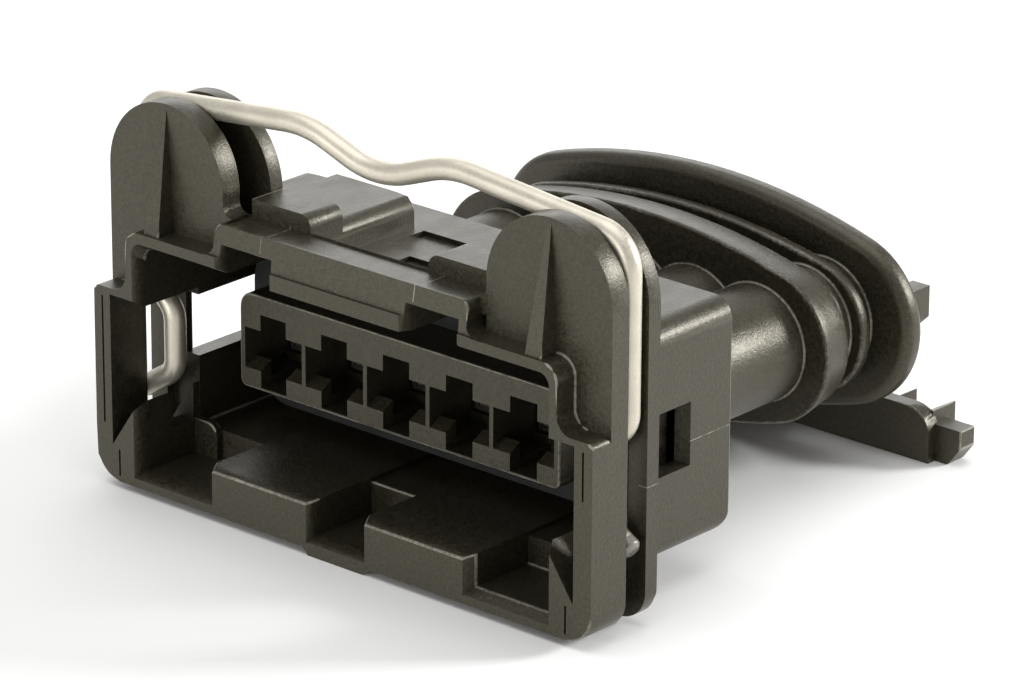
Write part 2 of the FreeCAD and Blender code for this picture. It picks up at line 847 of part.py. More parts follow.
# Housing: inside of the shroud, with a lead-in all round its rim
rim_section = outline(housing, "mouth_rim", "XZ", 0.0, mouth_path(0.0))
inner_section = outline(housing, "mouth_inner", "XZ", size("mouth_lead_depth"),
                        mouth_path(size("mouth_lead_in")))
mouth = housing.newObject("PartDesign::SubtractiveLoft", "mouth_lead")
mouth.Profile = rim_section
mouth.Sections = [inner_section]
mouth.Ruled = True
doc.recompute()
housing.Tip = mouth
cavity_section = outline(housing, "shroud_cavity_outline", "XZ",
                         size("mouth_lead_depth") - 0.005, mouth_path(size("mouth_lead_in")))
pocket(housing, "shroud_cavity", "XZ", cavity_section,
       size("shroud_cavity_end") - size("mouth_lead_depth") + 0.005)
for side, word in ((-1, "left"), (1, "right")):
    inner = size("ramp_relief_inner_edge") * side
    outer = (size("slot_core_half_width") + 0.4) * side
    low_x, high_x = (outer, inner) if side < 0 else (inner, outer)
    cut_block(
        housing,
        "ramp_relief_" + word,
        (low_x, size("shroud_depth"), size("ramp_relief_height")),
        (high_x, size("slot_rear"), size("mouth_lower_ceiling") - size("mouth_lead_in")),
    )

# Housing: inside of the box
box_inside = size("box_half_width") - size("box_wall")
inner_top = size("box_top") - size("box_wall")
pad_edge = size("pad_outer_edge") + size("mouth_lead_in")
key_edge = size("keyway_half_width") - size("mouth_lead_in")
box_cavity = mirrored([
    (key_edge, size("box_side_floor_top")),
    (key_edge, size("box_floor_top")),
    (pad_edge, size("box_floor_top")),
    (pad_edge, size("box_side_floor_top")),
    (box_inside, size("box_side_floor_top")),
    (box_inside, inner_top, size("box_wall")),
])
box_cavity_sketch = outline(housing, "box_cavity_outline", "XZ",
                            size("shroud_cavity_end") - 0.01, box_cavity)
pocket(housing, "box_cavity", "XZ", box_cavity_sketch,
       size("box_rear") - size("box_wall") - size("shroud_cavity_end"))
window = [
    (size("window_front"), size("window_bottom")),
    (size("window_rear"), size("window_bottom")),
    (size("window_rear"), size("window_top")),
    (size("window_front"), size("window_top")),
]
window_sketch = outline(housing, "window_outline", "YZ", -size("box_half_width") - 1, window)
pocket(housing, "side_windows", "YZ", window_sketch, size("box_half_width") * 2 + 2)
for side, word in ((-1, "left"), (1, "right")):
    inner = (box_inside - 0.3) * side
    outer = size("window_relief_edge") * side
    low_x, high_x = (outer, inner) if side < 0 else (inner, outer)
    cut_block(
        housing, "window_relief_" + word,
        (low_x, size("slot_rear") - 0.2, size("window_bottom")),
        (high_x, size("window_front") + 0.2, size("window_top")),
    )
    inner = size("corner_rib_inner_edge") * side
    outer = (box_inside + 0.3) * side
    low_x, high_x = (outer, inner) if side < 0 else (inner, outer)
    block(
        housing, "corner_rib_" + word,
        (low_x, size("corner_rib_front"), size("mouth_floor")),
        (high_x, size("shroud_cavity_end") + 0.1, size("corner_rib_top")),
        (None, None) + ((size("corner_rib_radius"), None) if side < 0
                        else (None, size("corner_rib_radius"))),
    )

# Housing: terminal tower
tower = mirrored([
    (size("tower_half_width"), size("tower_bottom"), size("tower_bottom_radius")),
    (size("tower_half_width"), size("tower_top"), size("tower_top_radius")),
])
tower_sketch = outline(housing, "tower_outline", "XZ", size("tower_front"), tower)
pad(housing, "tower", "XZ", tower_sketch, size("box_rear") - size("tower_front") - 0.3)
step = size("tower_foot_step")
foot_outline = mirrored([
    (size("tower_half_width") + step, size("tower_bottom") - step, size("tower_bottom_radius")),
    (size("tower_half_width") + step, size("tower_top") + step, size("tower_top_radius")),
])
foot_sketch = outline(housing, "tower_foot_outline", "XZ", size("tower_foot_front"), foot_outline)
pad(housing, "tower_foot", "XZ", foot_sketch, size("box_rear") - size("tower_foot_front") - 0.3)

# Housing: fine slits and lines that the mould leaves in the front faces
slit = size("mould_slit_width") / 2
for side, word in ((-1, "left"), (1, "right")):
    place = size("mould_slit_offset") * side
    cut_block(
        housing, "rim_slit_" + word,
        (place - slit, -0.5, size("mould_slit_bottom")),
        (place + slit, size("mould_slit_depth"), size("mould_slit_top")),
    )
    place = size("side_line_offset") * side
    cut_block(
        housing, "side_line_" + word,
        (place - slit, -0.5, size("%s_side_line_bottom" % word)),
        (place + slit, size("side_line_depth"), size("side_line_top")),
    )

# Housing: contact chambers, cut once and repeated for each way
first_way = -size("pitch") * 2
lead_rear = size("tower_front") + size("chamber_lead_depth")
lead_slope = size("chamber_lead_rise") / size("chamber_lead_depth")
lead_sketch = outline(housing, "chamber_lead_outline", "YZ",
                      first_way - size("chamber_half_width"), [
    (size("tower_front") - 0.5, size("chamber_bottom") - lead_slope * 0.5),
    (lead_rear, size("chamber_bottom") + size("chamber_lead_rise")),
    (lead_rear, size("chamber_top")),
    (size("tower_front") - 0.5, size("chamber_top")),
])
lead = pocket(housing, "chamber_lead", "YZ", lead_sketch, size("chamber_half_width") * 2)
chamber = cut_block(
    housing, "chamber",
    (first_way - size("chamber_half_width"), lead_rear, size("chamber_bottom")),
    (first_way + size("chamber_half_width"), size("chamber_rear"), size("chamber_top")),
)
notch = cut_block(
    housing, "lance_notch",
    (first_way - size("notch_half_width"), size("tower_front") - 0.5, size("chamber_top") - 0.2),
    (first_way + size("notch_half_width"), size("notch_rear"), size("notch_top")),
)
probe = cut_block(
    housing, "probe_slot",
    (first_way - size("notch_half_width"), size("tower_front") - 0.5,
     size("tower_bottom") + size("probe_slot_floor")),
    (first_way + size("notch_half_width"), size("probe_slot_rear"),
     size("chamber_bottom") + size("chamber_lead_rise") + 0.1),
)
shelf = cut_block(
    housing, "shelf_end",
    (first_way - size("chamber_half_width"), lead_rear,
     size("chamber_bottom") - size("shelf_drop")),
    (first_way + size("chamber_half_width"), size("shelf_rear"),
     size("chamber_bottom") + 0.1),
)
bore_sketch = round_outline(
    housing, "seal_bore_outline", "XZ", size("chamber_rear") - 0.3,
    (first_way, size("tube_axis_height")), size("seal_bore_radius"),
)
bore = pocket(housing, "seal_bore", "XZ", bore_sketch,
              size("tube_end") - size("chamber_rear") + 1)
repeat(housing, "chambers", [lead, chamber, notch, probe, shelf, bore])

# Locking wire: half of its centre line, from the dip in the middle to the toe
wire = new_body("locking_spring")
spine = new_sketch(wire, "wire_centre_line", "XZ", size("wire_plane"))
tilt = math.radians(SIZES["wire_dip_slope"])
ease = math.radians(SIZES["wire_shoulder_slope"])
bend = math.radians(SIZES["wire_bend_angle"])
toe = math.radians(SIZES["wire_toe_slope"])
heading = 0.0
point = [0.0, SIZES["wire_dip_height"]]


def run(length):
    """A straight stretch of the wire along the present heading."""
    start = FreeCAD.Vector(point[0], point[1], 0)
    point[0] += length * math.cos(heading)
    point[1] += length * math.sin(heading)
    end = FreeCAD.Vector(point[0], point[1], 0)
    return spine.addGeometry(Part.LineSegment(start, end), False), 1, 2


def turn_to(radius, target):
    """A bend of the wire to a new heading. A positive turn is to the left."""
    global heading
    change = target - heading
    side = 1 if change > 0 else -1
    centre = FreeCAD.Vector(
        point[0] - side * radius * math.sin(heading),
        point[1] + side * radius * math.cos(heading),
        0,
    )
    circle = Part.Circle(centre, FreeCAD.Vector(0, 0, 1), radius)
    start_angle = heading - side * math.pi / 2
    end_angle = target - side * math.pi / 2
    point[0] = centre.x + radius * math.cos(end_angle)
    point[1] = centre.y + radius * math.sin(end_angle)
    heading = target
    if side > 0:
        return spine.addGeometry(Part.ArcOfCircle(circle, start_angle, end_angle), False), 1, 2
    return spine.addGeometry(Part.ArcOfCircle(circle, end_angle, start_angle), False), 2, 1


down = -math.pi / 2
pieces = [turn_to(SIZES["wire_dip_radius"], tilt)]
pieces.append(run(SIZES["wire_rise"]))
pieces.append(turn_to(SIZES["wire_hump_radius"], -ease))
ear_turn = SIZES["wire_ear_radius"] * (math.sin(-down) - math.sin(ease))
across = SIZES["wire_leg_offset"] - ear_turn - point[0]
pieces.append(run(across / math.cos(ease)))
pieces.append(turn_to(SIZES["wire_ear_radius"], down))
pieces.append(run(point[1] - SIZES["wire_leg_foot_height"]))
pieces.append(turn_to(SIZES["wire_bend_radius"], down - bend))
sideways = SIZES["wire_leg_offset"] - SIZES["wire_inner_leg_offset"]
sideways -= 2 * SIZES["wire_bend_radius"] * (1 - math.cos(bend))
pieces.append(run(sideways / math.sin(bend)))
pieces.append(turn_to(SIZES["wire_bend_radius"], down))
pieces.append(run(point[1] - SIZES["wire_inner_leg_foot"]))
pieces.append(turn_to(SIZES["wire_toe_radius"], -toe))
pieces.append(run((SIZES["wire_tip_offset"] - point[0]) / math.cos(toe)))
for (first, _, first_end), (second, second_start, _) in zip(pieces, pieces[1:]):
    spine.addConstraint(Sketcher.Constraint("Tangent", first, first_end, second, second_start))
fix_point(spine, pieces[0][0], pieces[0][1], (0.0, size("wire_dip_height")))
fix_length(spine, "DistanceX", (-1, 1, pieces[0][0], 3), dim(0.0))
for index, alias in ((0, "wire_dip_radius"), (2, "wire_hump_radius"), (4, "wire_ear_radius"),
                     (6, "wire_bend_radius"), (8, "wire_bend_radius"), (10, "wire_toe_radius")):
    fix_length(spine, "Radius", (pieces[index][0],), size(alias))
fix_length(spine, "DistanceX", (-1, 1, pieces[4][0], pieces[4][2]), size("wire_leg_offset"))
fix_length(spine, "DistanceY", (-1, 1, pieces[5][0], pieces[5][2]), size("wire_leg_foot_height"))
fix_length(spine, "DistanceX", (-1, 1, pieces[8][0], pieces[8][2]), size("wire_inner_leg_offset"))
fix_length(spine, "DistanceY", (-1, 1, pieces[9][0], pieces[9][2]), size("wire_inner_leg_foot"))
fix_length(spine, "DistanceX", (-1, 1, pieces[11][0], pieces[11][2]), size("wire_tip_offset"))
fix_length(spine, "Distance", (pieces[1][0],), size("wire_rise"))
for index in (5, 9):
    spine.addConstraint(Sketcher.Constraint("Vertical", pieces[index][0]))
section = round_outline(wire, "wire_section", "YZ", 0.0,
                        (size("wire_plane"), size("wire_dip_height")), size("wire_radius"))
doc.recompute()
sweep = wire.newObject("PartDesign::AdditivePipe", "half_wire")
sweep.Profile = section
sweep.Spine = (spine, [])
sweep.Mode = "Frenet"
sweep.Transition = "Right corner"
doc.recompute()
wire.Tip = sweep
tip_edges = []
for index, edge in enumerate(sweep.Shape.Edges, start=1):
    if edge.CenterOfMass.x > SIZES["wire_tip_offset"] - 0.1 and edge.CenterOfMass.z < 6.0:
        tip_edges.append("Edge%d" % index)
chamfer = wire.newObject("PartDesign::Chamfer", "wire_tip_edge")
chamfer.Base = (sweep, tip_edges)
chamfer.setExpression("Size", size("wire_tip_chamfer").text)
doc.recompute()
wire.Tip = chamfer
other_half = wire.newObject("PartDesign::Mirrored", "whole_wire")
other_half.Originals = [sweep, chamfer]
other_half.MirrorPlane = (origin_plane(wire, "YZ_Plane"), [""])
doc.recompute()
wire.Tip = other_half

# Interface seal round the foot of the tower
seal = new_body("interface_seal")


def seal_ring(name, level, length, grow):
    """A ring that follows the tower and stands out from it by a given amount."""
    fit = size("seal_fit")
    inner = mirrored([
        (size("tower_half_width") + fit, size("tower_bottom") - fit, size("tower_bottom_radius")),
        (size("tower_half_width") + fit, size("tower_top") + fit, size("tower_top_radius")),
    ])
    reach = fit + dim(grow)
    outer = mirrored([
        (size("tower_half_width") + reach, size("tower_bottom") - reach,
         size("tower_bottom_radius") + grow),
        (size("tower_half_width") + reach, size("tower_top") + reach,
         size("tower_top_radius") + grow),
    ])
    ring = outline(seal, name + "_outline", "XZ", level, outer, inner)
    return pad(seal, name, "XZ", ring, length)


seal_ring("seal_band", size("seal_front"), size("seal_rear") - size("seal_front"),
          size("seal_body"))
for count in range(2):
    seal_ring("seal_lip_%d" % (count + 1),
              size("seal_lip_front") + size("seal_lip_spacing") * count,
              size("seal_lip_width"), size("seal_lip"))

# Contacts, their steel over-springs and the single-wire seals, one set for each way
for way in range(1, int(SIZES["ways"]) + 1):
    axis = size("pitch") * (way - 3)
    level = size("contact_axis_height")
    wide, tall, wall = size("contact_half_width"), size("contact_half_height"), size(
        "contact_wall")

    contact = new_body("contact_%d" % way)
    front = new_sketch(contact, "socket_outline_%d" % way, "XZ", size("contact_front"))
    for shrink in (dim(0.0), wall):
        draw_steps(front, corner_steps([
            (axis - wide + shrink, level - tall + shrink),
            (axis + wide - shrink, level - tall + shrink),
            (axis + wide - shrink, level + tall - shrink),
            (axis - wide + shrink, level + tall - shrink),
        ]))
    pad(contact, "socket_%d" % way, "XZ", front, size("contact_box_rear") - size("contact_front"))
    block(
        contact, "strip_%d" % way,
        (axis - size("contact_strip_half_width"), size("contact_box_rear") - 1, level - tall),
        (axis + size("contact_strip_half_width"), size("contact_grip_rear"), level - tall + wall),
    )
    for word in ("crimp", "grip"):
        grip = size("contact_crimp_half_width")
        rise = size("contact_crimp_height")
        start = size("contact_%s_front" % word)
        barrel = [
            (axis - grip, level - tall),
            (axis + grip, level - tall),
            (axis + grip, level - tall + rise),
            (axis + grip - wall, level - tall + rise),
            (axis + grip - wall, level - tall + wall),
            (axis - grip + wall, level - tall + wall),
            (axis - grip + wall, level - tall + rise),
            (axis - grip, level - tall + rise),
        ]
        barrel_sketch = outline(contact, "%s_outline_%d" % (word, way), "XZ", start, barrel)
        pad(contact, "%s_%d" % (word, way), "XZ", barrel_sketch,
            size("contact_%s_rear" % word) - start)

    spring = new_body("contact_spring_%d" % way)
    sleeve = new_sketch(spring, "sleeve_outline_%d" % way, "XZ", size("spring_front"))
    for grow in (size("spring_fit") + size("spring_wall"), size("spring_fit")):
        draw_steps(sleeve, corner_steps([
            (axis - wide - grow, level - tall - grow),
            (axis + wide + grow, level - tall - grow),
            (axis + wide + grow, level + tall + grow),
            (axis - wide - grow, level + tall + grow),
        ]))
    pad(spring, "sleeve_%d" % way, "XZ", sleeve, size("spring_rear") - size("spring_front"))
    skin = level + tall + size("spring_fit")
    lance = [
        (size("lance_front"), skin + size("spring_wall") / 2),
        (size("lance_rear"), skin + size("lance_rise")),
        (size("lance_rear"), skin + size("lance_rise") + size("spring_wall")),
        (size("lance_front"), skin + size("spring_wall") * 1.5),
    ]
    lance_sketch = outline(spring, "lance_outline_%d" % way, "YZ",
                           axis - size("lance_half_width"), lance)
    pad(spring, "lance_%d" % way, "YZ", lance_sketch, size("lance_half_width") * 2)

    plug = new_body("wire_seal_%d" % way)
    outside = size("seal_bore_radius") - size("wire_seal_fit")
    centre = (axis, size("tube_axis_height"))
    full = round_outline(plug, "seal_body_outline_%d" % way, "XZ", size("wire_seal_front"),
                         centre, outside)
    pad(plug, "seal_body_%d" % way, "XZ", full,
        size("wire_seal_rear") - size("wire_seal_front"))
    nose = round_outline(plug, "seal_nose_outline_%d" % way, "XZ", size("wire_seal_neck_front"),
                         centre, size("wire_seal_neck_radius"))
    pad(plug, "seal_nose_%d" % way, "XZ", nose,
        size("wire_seal_front") - size("wire_seal_neck_front") + 0.5)
    hole = round_outline(plug, "seal_hole_outline_%d" % way, "XZ",
                         size("wire_seal_neck_front") - 0.5, centre,
                         size("wire_seal_hole_radius"))
    pocket(plug, "seal_hole_%d" % way, "XZ", hole,
           size("wire_seal_rear") - size("wire_seal_neck_front") + 1)
    for count in range(3):
        start = size("wire_seal_front") + size("wire_seal_groove_width") + size(
            "wire_seal_groove_spacing") * count
        groove = new_sketch(plug, "seal_groove_outline_%d_%d" % (way, count + 1), "XZ", start)
        for index, radius in enumerate((outside + 0.5, outside - size("wire_seal_groove_depth"))):
            groove.addGeometry(Part.Circle(
                FreeCAD.Vector(axis.value, centre[1].value, 0), FreeCAD.Vector(0, 0, 1),
                radius.value), False)
            fix_point(groove, index, 3, centre)
            fix_length(groove, "Radius", (index,), radius)
        pocket(plug, "seal_groove_%d_%d" % (way, count + 1), "XZ", groove,
               size("wire_seal_groove_width"))

doc.recompute()
for item in doc.Objects:
    if "Invalid" in item.State or "Error" in item.State:
        raise RuntimeError("%s is in state %s" % (item.Name, item.State))

for item in doc.Objects:
    if item.TypeId != "PartDesign::Body":
        continue
    shape = item.Shape
    if not shape.isValid() or shape.Volume <= 0:
        raise RuntimeError("%s isn't a valid solid" % item.Label)
    shape.exportStep("parts/%s.step" % item.Label)
    print(item.Label, len(shape.Solids), round(shape.Volume, 2), shape.BoundBox)
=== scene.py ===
"""Dresses the sealed five-way connector: black nylon housing, steel lock wire, seals and contacts.

The pieces, their bodies and their places come from the frame. The script rounds the edges of the
housing and the wire on copies of their CAD pieces, makes the materials, and sets a plain studio
round the camera that was fitted to the photograph.
"""

from __future__ import annotations

import json
import logging
import math
from collections.abc import Callable
from dataclasses import dataclass
from enum import Enum

import bmesh
import bpy
from mathutils import Matrix, Vector

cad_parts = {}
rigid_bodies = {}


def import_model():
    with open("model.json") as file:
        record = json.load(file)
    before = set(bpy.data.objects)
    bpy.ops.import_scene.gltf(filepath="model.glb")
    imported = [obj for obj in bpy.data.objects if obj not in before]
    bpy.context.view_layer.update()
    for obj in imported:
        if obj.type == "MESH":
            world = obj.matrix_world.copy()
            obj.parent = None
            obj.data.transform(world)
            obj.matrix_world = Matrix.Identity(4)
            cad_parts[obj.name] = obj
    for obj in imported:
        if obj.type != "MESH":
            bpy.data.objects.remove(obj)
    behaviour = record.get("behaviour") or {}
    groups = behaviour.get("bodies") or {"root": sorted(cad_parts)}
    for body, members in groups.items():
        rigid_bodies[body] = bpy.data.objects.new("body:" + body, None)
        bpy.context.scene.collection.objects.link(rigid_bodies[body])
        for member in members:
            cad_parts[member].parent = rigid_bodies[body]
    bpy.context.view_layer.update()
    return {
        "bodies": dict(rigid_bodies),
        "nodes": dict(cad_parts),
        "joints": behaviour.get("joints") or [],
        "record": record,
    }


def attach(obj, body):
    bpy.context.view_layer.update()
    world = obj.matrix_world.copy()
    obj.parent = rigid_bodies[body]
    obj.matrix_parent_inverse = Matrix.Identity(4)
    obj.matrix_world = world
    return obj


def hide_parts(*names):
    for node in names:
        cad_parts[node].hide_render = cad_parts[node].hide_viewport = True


LOG = logging.getLogger("sealed_connector")
MM = 0.001

# Two edges cross if the cosine between them is less than this. A bevel has room beside a crossing
# edge that is this many bevel widths long.
CROSSING_COSINE = 0.87
ROOM_WIDTHS = 2.3

# A face is folded if its triangles' area differs from its own by more than this share of it plus
# this many square metres. A face with more than four corners and more than the large area, in
# square metres, is warped if a corner stands further than this from its plane.
FOLD_SHARE = 0.01
FOLD_AREA = 2e-10
QUAD_CORNERS = 4
LARGE_AREA = 2e-7
WARP_MM = 0.012

# The ends of edges are told apart in steps of a tenth of a micrometre.
STEPS_PER_METRE = 1e7

# A face is flat if it is this many times larger than each face that it meets softly, which is at
# more than the coplanar angle, in radians, and at less than the facet angle.
FLAT_TIMES = 4.0
COPLANAR_ANGLE = 0.006
FACET_DEGREES = 35.0

# How a CAD mesh is cleaned before and after its edges are rounded.
WELD_MM = 0.002
MERGE_DEGREES = 0.4
SLIVER_MM = 0.001

Triple = tuple[float, float, float]
Colour = Triple
EdgeKey = tuple[tuple[int, ...], tuple[int, ...]]
Socket = bpy.types.NodeSocket

WHITE: Colour = (1.0, 1.0, 1.0)


class Slot(Enum):
    """The material slots of the stored part."""

    PLASTIC = "housing_plastic"
    WIRE = "spring_wire"
    RUBBER = "seal_rubber"
    CONTACT = "contact_metal"
    SLEEVE = "spring_sleeve"


class Noise(Enum):
    """How a noise texture is used: its detail and its roughness."""

    FINE = (4.0, 0.55)
    CLOUDY = (2.0, 0.5)
    GRITTY = (6.0, 0.7)


@dataclass(frozen=True)
class Ramp:
    """A straight map of one range on to another, held at both ends.

    Attributes:
        low: Value that gives start.
        high: Value that gives end.
        start: Result at low and below.
        end: Result at high and above.
    """

    low: float
    high: float
    start: float = 0.0
    end: float = 1.0


@dataclass(frozen=True)
class Box:
    """An upright box in millimetres, told by its low and its high corner."""

    low: Vector
    high: Vector


class Shader:
    """A material's node tree with short calls for the nodes that the finishes use."""

    def __init__(self, name: str) -> None:
        """Makes a material with a Principled shader.

        Args:
            name: The material's name.
        """
        self.material = bpy.data.materials.new(name)
        self.material.use_nodes = True
        self.tree = self.material.node_tree
        self.tree.nodes.clear()
        self.output = self.tree.nodes.new("ShaderNodeOutputMaterial")
        self.surface = self.tree.nodes.new("ShaderNodeBsdfPrincipled")
        self.join(self.surface.outputs["BSDF"], self.output.inputs["Surface"])
        self.place = self.tree.nodes.new("ShaderNodeTexCoord").outputs["Object"]

    def join(self, source: Socket, target: Socket) -> None:
        """Links two sockets."""
        self.tree.links.new(source, target)

    def feed(self, target: Socket, value: Socket | Colour | float) -> None:
        """Gives an input its value.

        Args:
            target: The input.
            value: A socket to link, or a constant colour or number.
        """
        if isinstance(value, float):
            target.default_value = value
        elif isinstance(value, tuple):
            target.default_value = (*value, 1.0)
        else:
            self.join(value, target)

    def give(self, name: str, value: Socket | Colour | float) -> None:
        """Gives one input of the Principled shader its value."""
        self.feed(self.surface.inputs[name], value)

    def noise(self, per_mm: float, kind: Noise, stretch: Triple = (1.0, 1.0, 1.0)) -> Socket:
        """Adds a noise on object coordinates.

        Args:
            per_mm: Features per millimetre.
            kind: Detail and roughness of the noise.
            stretch: Factors on the three axes.

        Returns:
            The noise value's socket.
        """
        mapping = self.tree.nodes.new("ShaderNodeMapping")
        mapping.inputs["Scale"].default_value = stretch
        self.join(self.place, mapping.inputs["Vector"])
        detail, roughness = kind.value
        node = self.tree.nodes.new("ShaderNodeTexNoise")
        node.inputs["Scale"].default_value = per_mm / MM
        node.inputs["Detail"].default_value = detail
        node.inputs["Roughness"].default_value = roughness
        self.join(mapping.outputs["Vector"], node.inputs["Vector"])
        return node.outputs["Fac"]

    def spread(self, source: Socket, ramp: Ramp) -> Socket:
        """Maps a value through a ramp.

        Args:
            source: The value's socket.
            ramp: The ramp.

        Returns:
            The result's socket.
        """
        node = self.tree.nodes.new("ShaderNodeMapRange")
        node.inputs["From Min"].default_value = ramp.low
        node.inputs["From Max"].default_value = ramp.high
        node.inputs["To Min"].default_value = ramp.start
        node.inputs["To Max"].default_value = ramp.end
        self.join(source, node.inputs["Value"])
        return node.outputs["Result"]

    def mix(self, factor: Socket, first: Socket | Colour, second: Socket | Colour) -> Socket:
        """Mixes two colours.

        Args:
            factor: The mix factor's socket.
            first: Colour or socket at 0.
            second: Colour or socket at 1.

        Returns:
            The mixed colour's socket.
        """
        node = self.tree.nodes.new("ShaderNodeMix")
        node.data_type = "RGBA"
        self.join(factor, node.inputs["Factor"])
        for name, value in (("A", first), ("B", second)):
            self.feed(next(s for s in node.inputs if s.name == name and s.type == "RGBA"), value)
        return next(s for s in node.outputs if s.type == "RGBA")

    def attribute(self, name: str) -> Socket:
        """Reads a value stored on the mesh."""
        node = self.tree.nodes.new("ShaderNodeAttribute")
        node.attribute_name = name
        return node.outputs["Fac"]

    def maths(self, operation: str, *values: Socket | float) -> Socket:
        """Joins values with one arithmetic step.

        Args:
            operation: Blender's name of the step.
            *values: The numbers or sockets that it takes, in its order.

        Returns:
            The result's socket.
        """
        node = self.tree.nodes.new("ShaderNodeMath")
        node.operation = operation
        for target, value in zip(node.inputs, values):
            self.feed(target, value)
        return node.outputs["Value"]

    def sum(self, first: Socket, second: Socket) -> Socket:
        """Adds two values."""
        return self.maths("ADD", first, second)

    def within(self, box: Box) -> Socket:
        """Marks the part of the surface that lies in a box.

        Args:
            box: The box.

        Returns:
            A socket that is 1 in the box and 0 elsewhere.
        """
        parts = self.tree.nodes.new("ShaderNodeSeparateXYZ")
        self.join(self.place, parts.inputs["Vector"])
        inside = []
        for axis, start, end in zip("XYZ", box.low, box.high):
            middle, reach = (start + end) / 2 * MM, (end - start) / 2 * MM
            inside.append(self.maths("COMPARE", parts.outputs[axis], middle, reach))
        x, y, z = inside
        return self.maths("MULTIPLY", self.maths("MULTIPLY", x, y), z)

    def relief(self, height: Socket, depth_mm: float, strength: float = 1.0) -> None:
        """Presses a height pattern into the surface.

        Args:
            height: The pattern's socket.
            depth_mm: Depth of the relief where the pattern is 1.
            strength: How much of it shows.
        """
        bump = self.tree.nodes.new("ShaderNodeBump")
        bump.inputs["Distance"].default_value = depth_mm * MM
        bump.inputs["Strength"].default_value = strength
        self.join(height, bump.inputs["Height"])
        self.join(bump.outputs["Normal"], self.surface.inputs["Normal"])


@dataclass(frozen=True)
class MouldedNylon:
    """Black glass-filled nylon from a finely sparked mould, painted paler along its rounded edges
    and seams.

    Rounded edges carry a value named edge, and where its sum with the grain and a wide cloud is
    high, the nylon is painted pale: partly rubbed wear, partly a painted highlight along the edges.
    The seams are the fine raised lines where two parts of the mould met; they are painted pale in
    broken stretches as a painted highlight on the raised line. A name with per_mm gives features
    per millimetre.
    """

    name: str = "black_glass_filled_nylon"
    deep: Colour = (0.0080, 0.0071, 0.0040)
    light: Colour = (0.033, 0.0295, 0.0180)
    # Pale colour of rounded edges and seams: partly wear, partly painted highlight.
    wear_and_highlight: Colour = (0.27, 0.255, 0.215)
    sheen_tint: Colour = (1.0, 0.94, 0.77)
    sheen: float = 0.52
    grain_per_mm: float = 4.2
    fine_per_mm: float = 10.0
    grain_depth_mm: float = 0.016
    cloud_per_mm: float = 0.35
    flow_per_mm: float = 0.9
    flow_stretch: Triple = (1.0, 0.35, 1.0)
    tone: Ramp = Ramp(0.78, 1.22)
    rub_and_highlight: Ramp = Ramp(1.6, 2.3, 0.0, 0.95)
    rough: Ramp = Ramp(0.7, 1.35, 0.30, 0.44)
    seams: tuple[Box, ...] = (
        Box(Vector((17.3, 5.9, 8.615)), Vector((17.5, 15.2, 8.665))),
        Box(Vector((-17.5, 5.9, 8.615)), Vector((-17.3, 15.2, 8.665))),
        Box(Vector((19.2, 4.7, 8.38)), Vector((19.9, 5.9, 8.43))),
        Box(Vector((-6.31, -0.1, 17.4)), Vector((-6.25, 3.1, 18.5))),
        Box(Vector((5.82, -0.1, 17.4)), Vector((5.88, 3.1, 18.5))),
    )
    seam_breaks_per_mm: float = 1.6
    seam_breaks: Ramp = Ramp(0.42, 0.56, 0.25, 1.0)
    seam_height: float = 2.0

    def build(self) -> bpy.types.Material:
        """Makes the material."""
        shader = Shader(self.name)
        grain = shader.noise(self.grain_per_mm, Noise.FINE)
        cloud = shader.noise(self.cloud_per_mm, Noise.CLOUDY)
        flow = shader.noise(self.flow_per_mm, Noise.FINE, self.flow_stretch)
        speckle = shader.sum(grain, shader.noise(self.fine_per_mm, Noise.FINE))
        base = shader.mix(shader.spread(speckle, self.tone), self.deep, self.light)
        # Wear and painted highlight: edge value, grain and cloud summed to paint rounded edges
        # pale.
        wear_and_highlight_amount = shader.sum(shader.attribute("edge"), shader.sum(grain, cloud))
        seam = shader.within(self.seams[0])
        for other in self.seams[1:]:
            seam = shader.maths("MAXIMUM", seam, shader.within(other))
        breaks = shader.noise(self.seam_breaks_per_mm, Noise.GRITTY)
        # Painted highlight: seams painted pale in broken stretches, on top of their real raised
        # bump.
        painted_seam_highlight = shader.maths("MULTIPLY", seam, shader.spread(breaks, self.seam_breaks))
        wear_and_highlight_mask = shader.maths("MAXIMUM", shader.spread(wear_and_highlight_amount, self.rub_and_highlight), painted_seam_highlight)
        shader.give("Base Color", shader.mix(wear_and_highlight_mask, base, self.wear_and_highlight))
        shader.give("Roughness", shader.spread(shader.sum(flow, grain), self.rough))
        shader.give("Specular IOR Level", self.sheen)
        shader.give("Specular Tint", self.sheen_tint)
        raised = shader.maths("MULTIPLY", seam, self.seam_height)
        shader.relief(shader.sum(speckle, raised), self.grain_depth_mm)
        return shader.material


